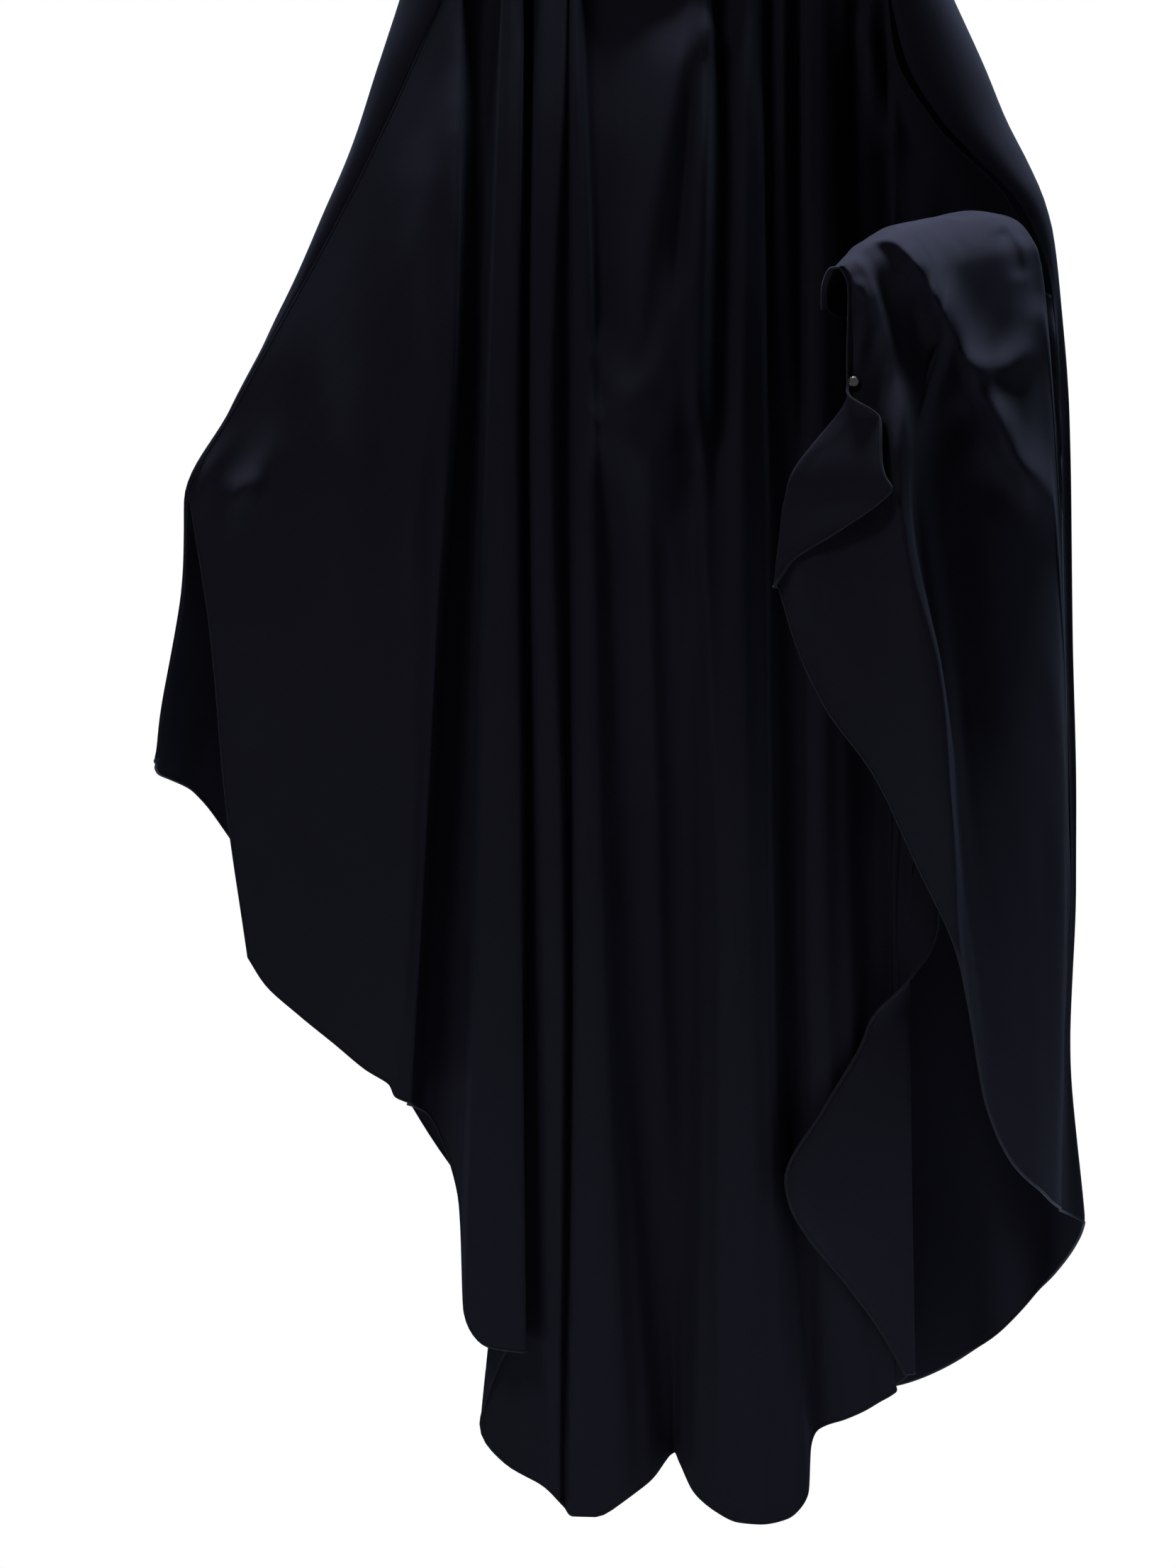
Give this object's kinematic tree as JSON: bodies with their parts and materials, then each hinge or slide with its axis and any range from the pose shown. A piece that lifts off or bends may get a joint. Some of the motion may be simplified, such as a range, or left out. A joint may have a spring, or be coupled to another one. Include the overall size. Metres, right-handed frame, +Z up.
{
  "type": "khimar veil",
  "caption": "Long pleated khimar veil in its worn form: hood with open face, draped front and back, and a fall of cloth over one bent forearm closed by a snap.",
  "frame": {"origin": "crown of the head inside the hood, where the veil sits", "axes": "+Z up, the wearer looks along -Y, the held-out arm is on the -X side and the bent arm on the +X side"},
  "size_m": [0.7226, 0.563, 1.5086],
  "materials": {
    "hood": "matte black crepe",
    "front_panel": "matte black crepe",
    "back_panel": "matte black crepe",
    "sleeve_drape": "matte black crepe",
    "snap_button": "small bright snap"
  },
  "bodies": {
    "root": {"hood": "hood", "front_panel": "front_panel", "back_panel": "back_panel", "sleeve_drape": "sleeve_drape", "snap_button": "snap_button"}
  },
  "joints": []
}
